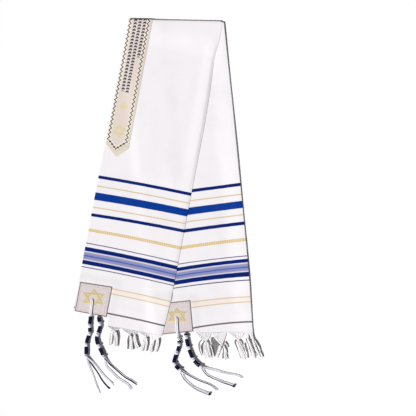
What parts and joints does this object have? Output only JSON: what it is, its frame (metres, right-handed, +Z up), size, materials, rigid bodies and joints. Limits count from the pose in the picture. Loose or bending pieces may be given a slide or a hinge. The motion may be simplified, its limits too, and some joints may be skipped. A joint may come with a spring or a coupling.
{
  "type": "folded prayer shawl",
  "caption": "Striped prayer shawl folded lengthwise and crosswise, laid flat as two fanned strips with neckband, corner patches, fringes and corner tassels.",
  "frame": {"origin": "middle of the underside of the whole part's box, on the surface it lies on", "axes": "+Z up from the surface, +Y from the tassels towards the crosswise fold, +X towards the back strip"},
  "size_m": [0.5564, 1.1316, 0.0121],
  "materials": {
    "cloth": "plain weave, white with navy, blue and gold stripes",
    "band": "woven band, beige with grey and navy pattern",
    "patch": "satin weave, grey-beige with a gold star",
    "fringe": "twisted yarn, white",
    "tassel": "wound cord, white and navy"
  },
  "bodies": {
    "root": {"shawl_cloth": "cloth", "neckband": "band", "patch_front_upper": "patch", "patch_front_lower": "patch", "patch_back_upper": "patch", "patch_back_lower": "patch", "fringe_front_upper": "fringe", "fringe_front_lower": "fringe", "fringe_back_upper": "fringe", "fringe_back_lower": "fringe", "tassel_front_upper": "tassel", "tassel_front_lower": "tassel", "tassel_back_upper": "tassel", "tassel_back_lower": "tassel"}
  },
  "joints": []
}
